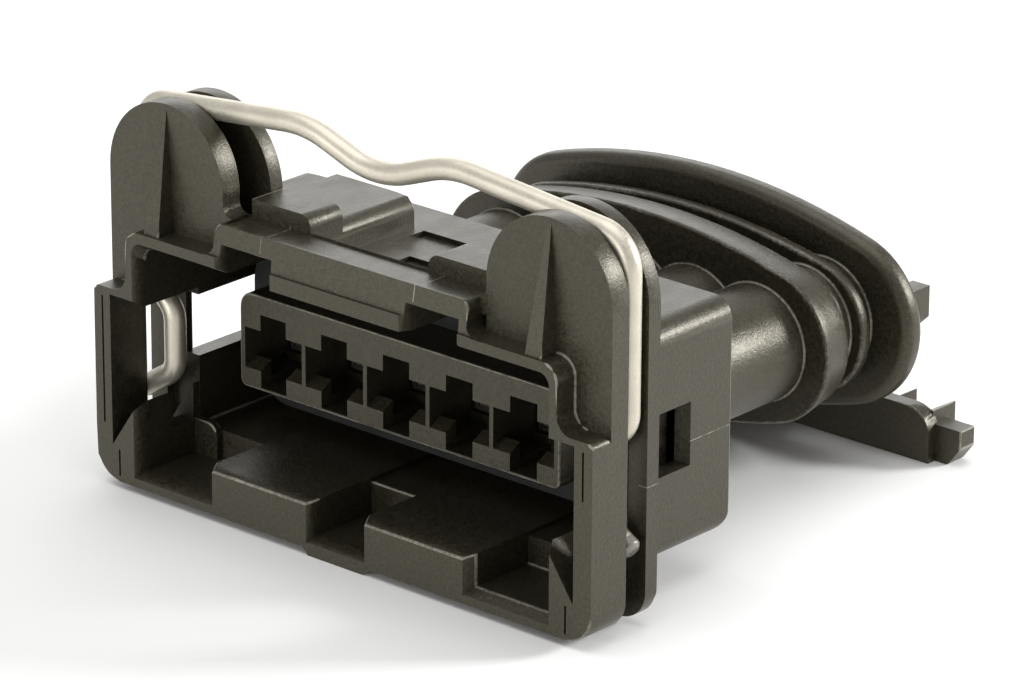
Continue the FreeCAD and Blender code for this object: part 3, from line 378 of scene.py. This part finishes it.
@dataclass(frozen=True)
class DrawnWire:
    """Satin spring wire with a warm, slightly dull zinc coat, and a dark tip that is partly bare
    steel where it was cut and partly painted shade.
    """

    name: str = "satin_spring_wire"
    clean: Colour = (0.58, 0.545, 0.46)
    dull: Colour = (0.48, 0.445, 0.37)
    metallic: float = 0.75
    patch_per_mm: float = 0.5
    speck_per_mm: float = 6.0
    speck_depth_mm: float = 0.005
    speck_strength: float = 0.3
    tone: Ramp = Ramp(0.7, 1.25)
    rough: Ramp = Ramp(0.3, 0.7, 0.34, 0.5)
    # Dark tip colour: partly bare cut steel, partly painted shade.
    cut_steel_and_shade: Colour = (0.20, 0.19, 0.17)
    cut: Box = Box(Vector((19.3, 2.0, 0.0)), Vector((20.2, 6.0, 6.0)))

    def build(self) -> bpy.types.Material:
        """Makes the material."""
        shader = Shader(self.name)
        patch = shader.noise(self.patch_per_mm, Noise.CLOUDY)
        speck = shader.noise(self.speck_per_mm, Noise.FINE)
        tone = shader.spread(shader.sum(patch, speck), self.tone)
        coat = shader.mix(tone, self.dull, self.clean)
        # Painted shade: the tip in the cut box is darkened, partly as bare steel.
        shader.give("Base Color", shader.mix(shader.within(self.cut), coat, self.cut_steel_and_shade))
        shader.give("Metallic", self.metallic)
        shader.give("Roughness", shader.spread(speck, self.rough))
        shader.relief(speck, self.speck_depth_mm, self.speck_strength)
        return shader.material


@dataclass(frozen=True)
class SoftRubber:
    """Matt silicone rubber with a slight bloom, painted pale where the box's side window shows it,
    as painted light falling through the window.
    """

    name: str
    deep: Colour
    bloom: Colour
    sheen: float = 0.3
    patch_per_mm: float = 0.8
    dust_per_mm: float = 9.0
    dust_depth_mm: float = 0.01
    dust_strength: float = 0.3
    tone: Ramp = Ramp(0.8, 1.3)
    rough: Ramp = Ramp(0.3, 0.7, 0.6, 0.8)
    # Painted light: the seal is painted this pale colour behind the side window, where light falls
    # through it.
    painted_window_light: Colour = (0.17, 0.165, 0.145)
    behind_window: Box = Box(Vector((11.5, 8.9, -5.0)), Vector((20.0, 13.2, 20.0)))

    def build(self) -> bpy.types.Material:
        """Makes the material."""
        shader = Shader(self.name)
        patch = shader.noise(self.patch_per_mm, Noise.CLOUDY)
        dust = shader.noise(self.dust_per_mm, Noise.FINE)
        tone = shader.spread(shader.sum(patch, dust), self.tone)
        rubber = shader.mix(tone, self.deep, self.bloom)
        # Painted light: mask of the seal behind the side window, varied by the rubber's tone.
        left = shader.maths("MULTIPLY", shader.within(self.behind_window), tone)
        shader.give("Base Color", shader.mix(left, rubber, self.painted_window_light))
        shader.give("Roughness", shader.spread(dust, self.rough))
        shader.give("Specular IOR Level", self.sheen)
        shader.relief(dust, self.dust_depth_mm, self.dust_strength)
        return shader.material


@dataclass(frozen=True)
class RolledStrip:
    """Thin metal strip with rolling lines along the contact."""

    name: str
    clean: Colour
    dull: Colour
    rough: Ramp
    metallic: float = 1.0
    patch_per_mm: float = 0.6
    lines_per_mm: float = 12.0
    lines_stretch: Triple = (1.0, 0.05, 1.0)
    lines_depth_mm: float = 0.006
    lines_strength: float = 0.4
    tone: Ramp = Ramp(0.8, 1.25)

    def build(self) -> bpy.types.Material:
        """Makes the material."""
        shader = Shader(self.name)
        lines = shader.noise(self.lines_per_mm, Noise.FINE, self.lines_stretch)
        patch = shader.noise(self.patch_per_mm, Noise.CLOUDY)
        tone = shader.spread(shader.sum(lines, patch), self.tone)
        shader.give("Base Color", shader.mix(tone, self.dull, self.clean))
        shader.give("Metallic", self.metallic)
        shader.give("Roughness", shader.spread(lines, self.rough))
        shader.relief(lines, self.lines_depth_mm, self.lines_strength)
        return shader.material


def show(piece: bpy.types.Object, material: bpy.types.Material) -> None:
    """Gives a piece its finish.

    Args:
        piece: The piece.
        material: Its material.
    """
    if not piece.material_slots:
        piece.data.materials.append(material)
    for place in piece.material_slots:
        place.link = "OBJECT"
        place.material = material


@dataclass(frozen=True)
class Softening:
    """How the sharp edges of one region are rounded.

    Attributes:
        width_mm: Width of the bevel.
        segments: How many strips it has.
        wear_and_highlight_level: How pale the rounded edge is painted, from 0 to 1, partly for wear
            and partly as a painted highlight.
        region: Tells from an edge's two end points, in millimetres, whether it is in the region.
        clamped: Whether all edges are bevelled at once, and narrower where they lack room. If
            not, they are bevelled in groups at full width, where that comes out sound.
    """

    width_mm: float
    segments: int
    # Level of wear and painted highlight on this region's rounded edges.
    wear_and_highlight_level: float
    region: Callable[[Vector, Vector], bool]
    clamped: bool = True


def everywhere(_start: Vector, _end: Vector) -> bool:
    """Accepts every edge."""
    return True


def has_room(edge: bmesh.types.BMEdge, width_mm: float) -> bool:
    """Tells whether the edges that cross an edge's ends are long enough for a bevel beside them.

    Args:
        edge: The edge to bevel.
        width_mm: Width of the bevel.

    Returns:
        False if a short crossing edge would hold the bevel back.
    """
    for vert in edge.verts:
        along = (edge.other_vert(vert).co - vert.co).normalized()
        for other in vert.link_edges:
            if other is edge:
                continue
            across = other.other_vert(vert).co - vert.co
            crosses = abs(along.dot(across.normalized())) < CROSSING_COSINE
            if crosses and across.length < ROOM_WIDTHS * width_mm * MM:
                return False
    return True


def warped(face: bmesh.types.BMFace) -> bool:
    """Tells whether a corner of a face stands away from the face's plane."""
    middle = face.calc_center_median()
    return max(abs((vert.co - middle).dot(face.normal)) for vert in face.verts) > WARP_MM * MM


def spoiled(work: bmesh.types.BMesh, made: list[bmesh.types.BMFace]) -> bool:
    """Tells whether a bevel has torn, folded or warped the faces round it.

    Args:
        work: The mesh after the bevel.
        made: The bevel's own faces.

    Returns:
        True if an edge is open, a flat face crosses itself, or a large face is no longer flat.
    """
    near = {face for strip in made for vert in strip.verts for face in vert.link_faces}
    if any(not edge.is_manifold for face in near for edge in face.edges):
        return True
    covered = dict.fromkeys(near, 0.0)
    for corners in work.calc_loop_triangles():
        face = corners[0].face
        if face in covered:
            first, second, third = (corner.vert.co for corner in corners)
            covered[face] += (second - first).cross(third - first).length / 2
    for face, area in covered.items():
        own = face.calc_area()
        if abs(area - own) > FOLD_SHARE * own + FOLD_AREA:
            return True
        if own > LARGE_AREA and len(face.verts) > QUAD_CORNERS and warped(face):
            return True
    return False


def linked_groups(edges: list[bmesh.types.BMEdge]) -> list[list[bmesh.types.BMEdge]]:
    """Sorts edges into groups that hang together.

    Args:
        edges: The edges.

    Returns:
        The groups.
    """
    left = set(edges)
    groups = []
    for start in edges:
        if start not in left:
            continue
        left.discard(start)
        group, ahead = [], [start]
        while ahead:
            edge = ahead.pop()
            group.append(edge)
            beside = [e for vert in edge.verts for e in vert.link_edges if e in left]
            left.difference_update(beside)
            ahead.extend(dict.fromkeys(beside))
        groups.append(group)
    return groups


def edge_key(edge: bmesh.types.BMEdge) -> EdgeKey:
    """Names an edge by its ends, so that it is found again in a copy of its mesh."""
    ends = sorted(tuple(round(value * STEPS_PER_METRE) for value in vert.co) for vert in edge.verts)
    return ends[0], ends[1]


def flat_faces(work: bmesh.types.BMesh) -> set[bmesh.types.BMFace]:
    """Finds the faces that are flat on the object and no facet of a curved surface.

    Args:
        work: The mesh.

    Returns:
        The flat faces: each is far larger than every face that it meets softly.
    """
    soft = math.radians(FACET_DEGREES)
    areas = {face: face.calc_area() for face in work.faces}
    found = set()
    for face, area in areas.items():
        beside = [
            areas[other] for edge in face.edges for other in edge.link_faces
            if other is not face and COPLANAR_ANGLE < face.normal.angle(other.normal, 0.0) < soft
        ]
        if area > FLAT_TIMES * max(beside, default=0.0):
            found.add(face)
    return found


def corner_normals(work: bmesh.types.BMesh, crease_degrees: float = 50.0) -> list[Vector]:
    """Works out smooth normals that leave flat faces flat right up to their edges.

    Args:
        work: The mesh.
        crease_degrees: Faces that meet at this angle or more stay creased.

    Returns:
        One normal for each corner of each face, in the mesh's order.
    """
    crease = math.radians(crease_degrees)
    flats = flat_faces(work)
    normals = []
    for face in work.faces:
        for loop in face.loops:
            fan = [
                f for f in loop.vert.link_faces
                if f is face or face.normal.angle(f.normal, math.pi) < crease
            ]
            held = [f for f in fan if f in flats]
            if held:
                normals.append(max(held, key=lambda f: f.calc_area()).normal.copy())
                continue
            mean = Vector((0.0, 0.0, 0.0))
            for other in fan:
                corner = next(c for c in other.loops if c.vert is loop.vert)
                mean += other.normal * corner.calc_angle()
            normals.append(mean.normalized())
    return normals


@dataclass
class Rounding:
    """Rounds the sharp edges of one region of a mesh.

    Attributes:
        work: The mesh. A copy with sound bevels takes its place, and the old one is freed.
        softening: What to round, and how wide.
        limit: Edges that turn by more than this angle, in radians, are sharp.
        smallest: A group is halved only if both halves have at least this many edges.
    """

    work: bmesh.types.BMesh
    softening: Softening
    limit: float
    smallest: int = 4

    def sharp_edges(self) -> list[bmesh.types.BMEdge]:
        """Finds the edges to round."""
        wear_and_highlight = self.work.faces.layers.float["edge"]
        self.work.edges.index_update()
        return [
            edge for edge in self.work.edges
            if edge.is_manifold and edge.calc_face_angle(0.0) > self.limit
            and all(face[wear_and_highlight] == 0.0 for face in edge.link_faces)
            and self.softening.region(edge.verts[0].co / MM, edge.verts[1].co / MM)
            and (self.softening.clamped or has_room(edge, self.softening.width_mm))
        ]

    def bevel(self, edges: list[bmesh.types.BMEdge]) -> bool:
        """Bevels edges on a copy, and keeps the copy if it came out sound.

        Args:
            edges: The edges.

        Returns:
            Whether the copy was kept.
        """
        trial = self.work.copy()
        trial.edges.ensure_lookup_table()
        made = bmesh.ops.bevel(
            trial,
            geom=[trial.edges[edge.index] for edge in edges],
            offset=self.softening.width_mm * MM,
            offset_type="OFFSET",
            affect="EDGES",
            segments=self.softening.segments,
            profile=0.5,
            material=-1,
            clamp_overlap=self.softening.clamped,
            loop_slide=True,
        )
        # Bevel faces take the level that paints them pale: wear and painted highlight.
        wear_and_highlight = trial.faces.layers.float["edge"]
        for face in made["faces"]:
            face[wear_and_highlight] = self.softening.wear_and_highlight_level
        trial.normal_update()
        if not self.softening.clamped and spoiled(trial, made["faces"]):
            trial.free()
            return False
        self.work.free()
        self.work = trial
        return True

    def halves(self, group: list[EdgeKey]) -> list[list[EdgeKey]]:
        """Cuts a group of edges in two across its longest side."""
        starts = [key[0] for key in group]
        spans = [max(values) - min(values) for values in zip(*starts)]
        axis = spans.index(max(spans))
        group = sorted(group, key=lambda key: (key[0][axis], key))
        return [group[: len(group) // 2], group[len(group) // 2:]]

    def run(self) -> bmesh.types.BMesh:
        """Rounds the edges: all at once if clamped, else in groups, with unsound ones halved.

        Returns:
            The mesh.
        """
        sharp = self.sharp_edges()
        if self.softening.clamped:
            self.bevel(sharp)
            return self.work
        waiting = [[edge_key(edge) for edge in group] for group in linked_groups(sharp)]
        found = {edge_key(edge): edge for edge in sharp}
        tries = kept = 0
        while waiting:
            group = waiting.pop()
            edges = [found[key] for key in group if key in found]
            if not edges:
                continue
            tries += 1
            if self.bevel(edges):
                kept += len(edges)
                found = {edge_key(edge): edge for edge in self.sharp_edges()}
            elif len(group) >= 2 * self.smallest:
                waiting.extend(self.halves(group))
        LOG.info("%d of %d edges rounded in %d tries", kept, len(sharp), tries)
        return self.work


def softened_copy(
    node: bpy.types.Object, name: str, passes: list[Softening], sharp_degrees: float = 24.0
) -> bpy.types.Object:
    """Copies a CAD piece and gives its sharp edges the small radius that a mould leaves.

    Args:
        node: The CAD piece.
        name: Name of the new piece.
        passes: The softenings, in order. An edge of a face that one has made isn't softened again.
        sharp_degrees: Edges that turn by more than this are softened.

    Returns:
        The new piece, with a value named edge that tells how pale a softened edge is painted,
        partly for wear and partly as a painted highlight.
    """
    mesh = bpy.data.meshes.new(name)
    work = bmesh.new()
    work.from_mesh(node.data)
    # The value named edge carries how pale each rounded edge is painted: wear and painted
    # highlight.
    work.faces.layers.float.new("edge")
    bmesh.ops.remove_doubles(work, verts=work.verts, dist=WELD_MM * MM)
    bmesh.ops.dissolve_limit(
        work,
        angle_limit=math.radians(MERGE_DEGREES),
        use_dissolve_boundaries=False,
        verts=work.verts,
        edges=work.edges,
        delimit=set(),
    )
    for softening in passes:
        work = Rounding(work, softening, math.radians(sharp_degrees)).run()
    bmesh.ops.dissolve_degenerate(work, dist=SLIVER_MM * MM, edges=work.edges)
    for face in work.faces:
        face.smooth = True
    work.normal_update()
    normals = corner_normals(work)
    work.to_mesh(mesh)
    work.free()
    mesh.normals_split_custom_set(normals)
    piece = bpy.data.objects.new(name, mesh)
    bpy.context.scene.collection.objects.link(piece)
    return piece


@dataclass
class Housing:
    """The moulded housing. Heights, planes and radii are in millimetres on the CAD piece."""

    frame: dict
    edge_mm: float = 0.11
    thin_edge_mm: float = 0.11 / 3
    ear_edge_mm: float = 0.30
    ear_foot_z: float = 18.6
    ear_slack_mm: float = 0.01
    collar_edge_mm: float = 0.22
    collar_planes: tuple[float, ...] = (26.75, 29.5, 31.3, 32.2, 33.3)
    collar_slack_mm: float = 0.02
    tube_xs: tuple[float, ...] = (-10.0, -5.0, 0.0, 5.0, 10.0)
    tube_z: float = 8.68
    tube_radius_mm: float = 3.72
    tube_foot_mm: float = 0.4

    def on_ear(self, start: Vector, end: Vector) -> bool:
        """Tells an edge round the front or back of an ear."""
        level = abs(start.y - end.y) < self.ear_slack_mm
        return min(start.z, end.z) > self.ear_foot_z and level

    def on_collar(self, start: Vector, end: Vector) -> bool:
        """Tells an edge round the rim of an oval collar and not round the foot of a wire tube."""
        middle = (start + end) / 2
        foot = min(math.hypot(middle.x - x, middle.z - self.tube_z) for x in self.tube_xs)
        slack = self.collar_slack_mm
        return foot > self.tube_radius_mm + self.tube_foot_mm and any(
            abs(start.y - plane) < slack and abs(end.y - plane) < slack
            for plane in self.collar_planes
        )

    def build(self) -> None:
        """Makes the softened housing and dresses it."""
        passes = [
            # Each pass paints its rounded edges pale to this level, partly wear and partly painted
            # highlight.
            Softening(self.ear_edge_mm, segments=3, wear_and_highlight_level=0.55, region=self.on_ear),
            Softening(self.collar_edge_mm, segments=3, wear_and_highlight_level=0.6, region=self.on_collar),
            Softening(self.edge_mm, segments=2, wear_and_highlight_level=1.0, region=everywhere, clamped=False),
            Softening(self.thin_edge_mm, segments=1, wear_and_highlight_level=0.8, region=everywhere),
        ]
        piece = softened_copy(self.frame["nodes"]["connector_housing"], "housing_moulding", passes)
        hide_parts("connector_housing")
        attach(piece, "housing_body")
        show(piece, MouldedNylon().build())


@dataclass
class LockWire:
    """The bent-wire lock."""

    frame: dict
    edge_mm: float = 0.05
    sharp_degrees: float = 40.0

    def build(self) -> None:
        """Makes the smooth wire and dresses it."""
        passes = [Softening(self.edge_mm, segments=2, wear_and_highlight_level=0.0, region=everywhere)]
        node = self.frame["nodes"]["locking_spring"]
        piece = softened_copy(node, "lock_wire", passes, self.sharp_degrees)
        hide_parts("locking_spring")
        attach(piece, "wire_body")
        show(piece, DrawnWire().build())


@dataclass
class Internals:
    """The seals and contacts inside."""

    frame: dict
    ways: int = 5
    ring: SoftRubber = SoftRubber(
        "black_seal_rubber", deep=(0.008, 0.008, 0.0075), bloom=(0.017, 0.0165, 0.016)
    )
    plug: SoftRubber = SoftRubber(
        "wire_seal_rubber", deep=(0.24, 0.045, 0.02), bloom=(0.34, 0.075, 0.035)
    )
    tin: RolledStrip = RolledStrip(
        "tinned_copper_strip",
        clean=(0.38, 0.355, 0.30),
        dull=(0.22, 0.20, 0.16),
        rough=Ramp(0.3, 0.7, 0.3, 0.3 + 0.15),
    )
    steel: RolledStrip = RolledStrip(
        "stainless_strip",
        clean=(0.27, 0.27, 0.26),
        dull=(0.15, 0.15, 0.14),
        rough=Ramp(0.3, 0.7, 0.28, 0.28 + 0.15),
    )

    def build(self) -> None:
        """Dresses the pieces inside."""
        nodes = self.frame["nodes"]
        ring, plug, tin, steel = (
            finish.build() for finish in (self.ring, self.plug, self.tin, self.steel)
        )
        show(nodes["interface_seal"], ring)
        for way in range(1, self.ways + 1):
            show(nodes[f"contact_{way}"], tin)
            show(nodes[f"contact_spring_{way}"], steel)
            show(nodes[f"wire_seal_{way}"], plug)


@dataclass(frozen=True)
class Lamp:
    """One soft box.

    Attributes:
        name: Its name.
        place: Where it stands, in metres.
        size: Its width and height, in metres.
        power: Its power in watts.
        aim: The point it faces, in metres.
    """

    name: str
    place: Triple
    size: tuple[float, float]
    power: float
    aim: Triple = (0.0, 0.015, 0.01)

    def build(self) -> None:
        """Hangs the lamp."""
        light = bpy.data.lights.new(self.name, "AREA")
        light.shape = "RECTANGLE"
        light.size, light.size_y = self.size
        light.energy = self.power
        holder = bpy.data.objects.new(self.name, light)
        holder.location = self.place
        gaze = Vector(self.aim) - Vector(self.place)
        holder.rotation_euler = gaze.to_track_quat("-Z", "Y").to_euler()
        bpy.context.scene.collection.objects.link(holder)


def by_ray(tree: bpy.types.NodeTree, kind: Socket, others: Socket, those: Socket) -> Socket:
    """Shows one shader to one kind of ray and another to the rest.

    Args:
        tree: The node tree.
        kind: The socket that is 1 for the kind of ray.
        others: The shader for all other rays.
        those: The shader for that kind.

    Returns:
        The mixed shader's socket.
    """
    blend = tree.nodes.new("ShaderNodeMixShader")
    tree.links.new(kind, blend.inputs["Fac"])
    tree.links.new(others, blend.inputs[1])
    tree.links.new(those, blend.inputs[2])
    return blend.outputs["Shader"]


@dataclass
class Studio:
    """Camera, floor and soft light. The camera's figures come from its fit to straight edges."""

    azimuth: float = 41.2391
    elevation: float = 20.6814
    roll: float = 0.3157
    aside_mm: float = 8.3864
    above_mm: float = 2.2858
    distance_mm: float = 323.562
    focal_px: float = 5519.846
    photo_width: int = 1024
    target_mm: Triple = (0.0, 3.0, 10.0)
    sensor_mm: float = 36.0
    clip_start: float = 0.01
    clip_end: float = 10.0
    floor_mm: float = -0.45
    floor_gap: float = 0.00002
    floor_size: float = 6.0
    floor_colour: Colour = (0.9, 0.9, 0.9)
    floor_rough: float = 0.9
    floor_sheen: float = 0.1
    floor_glow: Colour = (1.0, 0.95, 0.86)
    floor_glow_level: float = 0.2
    fill: Colour = (1.0, 0.99, 0.97)
    fill_level: float = 0.42
    mirrored_level: float = 0.72
    seen_level: float = 1.0
    lamps: tuple[Lamp, ...] = (
        Lamp("overhead_box", place=(-0.05, -0.02, 0.60), size=(0.7, 0.6), power=2.5),
        Lamp("back_left_box", place=(-0.40, 0.46, 0.24), size=(0.5, 0.3), power=0.9),
        Lamp("back_right_box", place=(0.38, 0.44, 0.23), size=(0.15, 0.13), power=3.8),
        Lamp("front_box", (-0.10, -0.60, 0.10), (0.5, 0.18), 1.6, aim=(0.0, 0.01, 0.01)),
        Lamp("right_box", place=(0.6, -0.05, 0.22), size=(0.4, 0.5), power=0.15),
    )

    def axes(self) -> tuple[Vector, Vector, Vector]:
        """Works out the camera's right, up and backward directions."""
        a, e, r = (math.radians(v) for v in (self.azimuth, self.elevation, self.roll))
        back = Vector((math.sin(a) * math.cos(e), -math.cos(a) * math.cos(e), math.sin(e)))
        right = Vector((math.cos(a), math.sin(a), 0.0))
        up = back.cross(right)
        return (
            math.cos(r) * right + math.sin(r) * up,
            -math.sin(r) * right + math.cos(r) * up,
            back,
        )

    def camera(self) -> None:
        """Places the camera where the photograph was taken from."""
        right, up, back = self.axes()
        place = Vector(self.target_mm) + back * self.distance_mm
        place += right * self.aside_mm + up * self.above_mm
        lens = bpy.data.cameras.new("photo_camera")
        lens.sensor_width = self.sensor_mm
        lens.lens = self.sensor_mm * self.focal_px / self.photo_width
        lens.clip_start = self.clip_start
        lens.clip_end = self.clip_end
        holder = bpy.data.objects.new("photo_camera", lens)
        pose = Matrix((right, up, back)).transposed().to_4x4()
        pose.translation = place * MM
        holder.matrix_world = pose
        bpy.context.scene.collection.objects.link(holder)
        bpy.context.scene.camera = holder

    def floor(self) -> None:
        """Lays a plain pale floor that takes the shadow and glows a little in reflections."""
        height = self.floor_mm * MM - self.floor_gap
        bpy.ops.mesh.primitive_plane_add(size=self.floor_size, location=(0.0, 0.0, height))
        plane = bpy.context.object
        plane.name = "studio_floor"
        material = bpy.data.materials.new("pale_floor")
        material.use_nodes = True
        tree = material.node_tree
        surface = tree.nodes["Principled BSDF"]
        surface.inputs["Base Color"].default_value = (*self.floor_colour, 1.0)
        surface.inputs["Roughness"].default_value = self.floor_rough
        surface.inputs["Specular IOR Level"].default_value = self.floor_sheen
        glow = tree.nodes.new("ShaderNodeEmission")
        glow.inputs["Color"].default_value = (*self.floor_glow, 1.0)
        glow.inputs["Strength"].default_value = self.floor_glow_level
        warmer = tree.nodes.new("ShaderNodeAddShader")
        tree.links.new(surface.outputs["BSDF"], warmer.inputs[0])
        tree.links.new(glow.outputs["Emission"], warmer.inputs[1])
        rays = tree.nodes.new("ShaderNodeLightPath").outputs
        plain = surface.outputs["BSDF"]
        shown = by_ray(tree, rays["Is Glossy Ray"], plain, warmer.outputs["Shader"])
        tree.links.new(shown, tree.nodes["Material Output"].inputs["Surface"])
        plane.data.materials.append(material)

    def world(self) -> None:
        """Fills the surroundings with even white light."""
        world = bpy.data.worlds.new("studio_surroundings")
        bpy.context.scene.world = world
        world.use_nodes = True
        tree = world.node_tree
        tree.nodes.clear()
        output = tree.nodes.new("ShaderNodeOutputWorld")
        rays = tree.nodes.new("ShaderNodeLightPath").outputs
        levels = []
        for colour, strength in (
            (self.fill, self.fill_level),
            (WHITE, self.mirrored_level),
            (WHITE, self.seen_level),
        ):
            level = tree.nodes.new("ShaderNodeBackground")
            level.inputs["Color"].default_value = (*colour, 1.0)
            level.inputs["Strength"].default_value = strength
            levels.append(level.outputs["Background"])
        fill, mirrored, seen = levels
        unseen = by_ray(tree, rays["Is Glossy Ray"], fill, mirrored)
        shown = by_ray(tree, rays["Is Camera Ray"], unseen, seen)
        tree.links.new(shown, output.inputs["Surface"])

    def build(self) -> None:
        """Sets the whole studio."""
        self.camera()
        self.floor()
        self.world()
        for lamp in self.lamps:
            lamp.build()
        bpy.context.scene.view_settings.view_transform = "Standard"


def main() -> None:
    """Builds the scene in order."""
    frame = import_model()
    Studio().build()
    LOG.info("studio set")
    for name, maker in (
        ("housing", Housing(frame)),
        ("lock wire", LockWire(frame)),
        ("internals", Internals(frame)),
    ):
        maker.build()
        LOG.info("%s done", name)


if __name__ == "__main__":
    logging.basicConfig(level=logging.INFO)
    main()
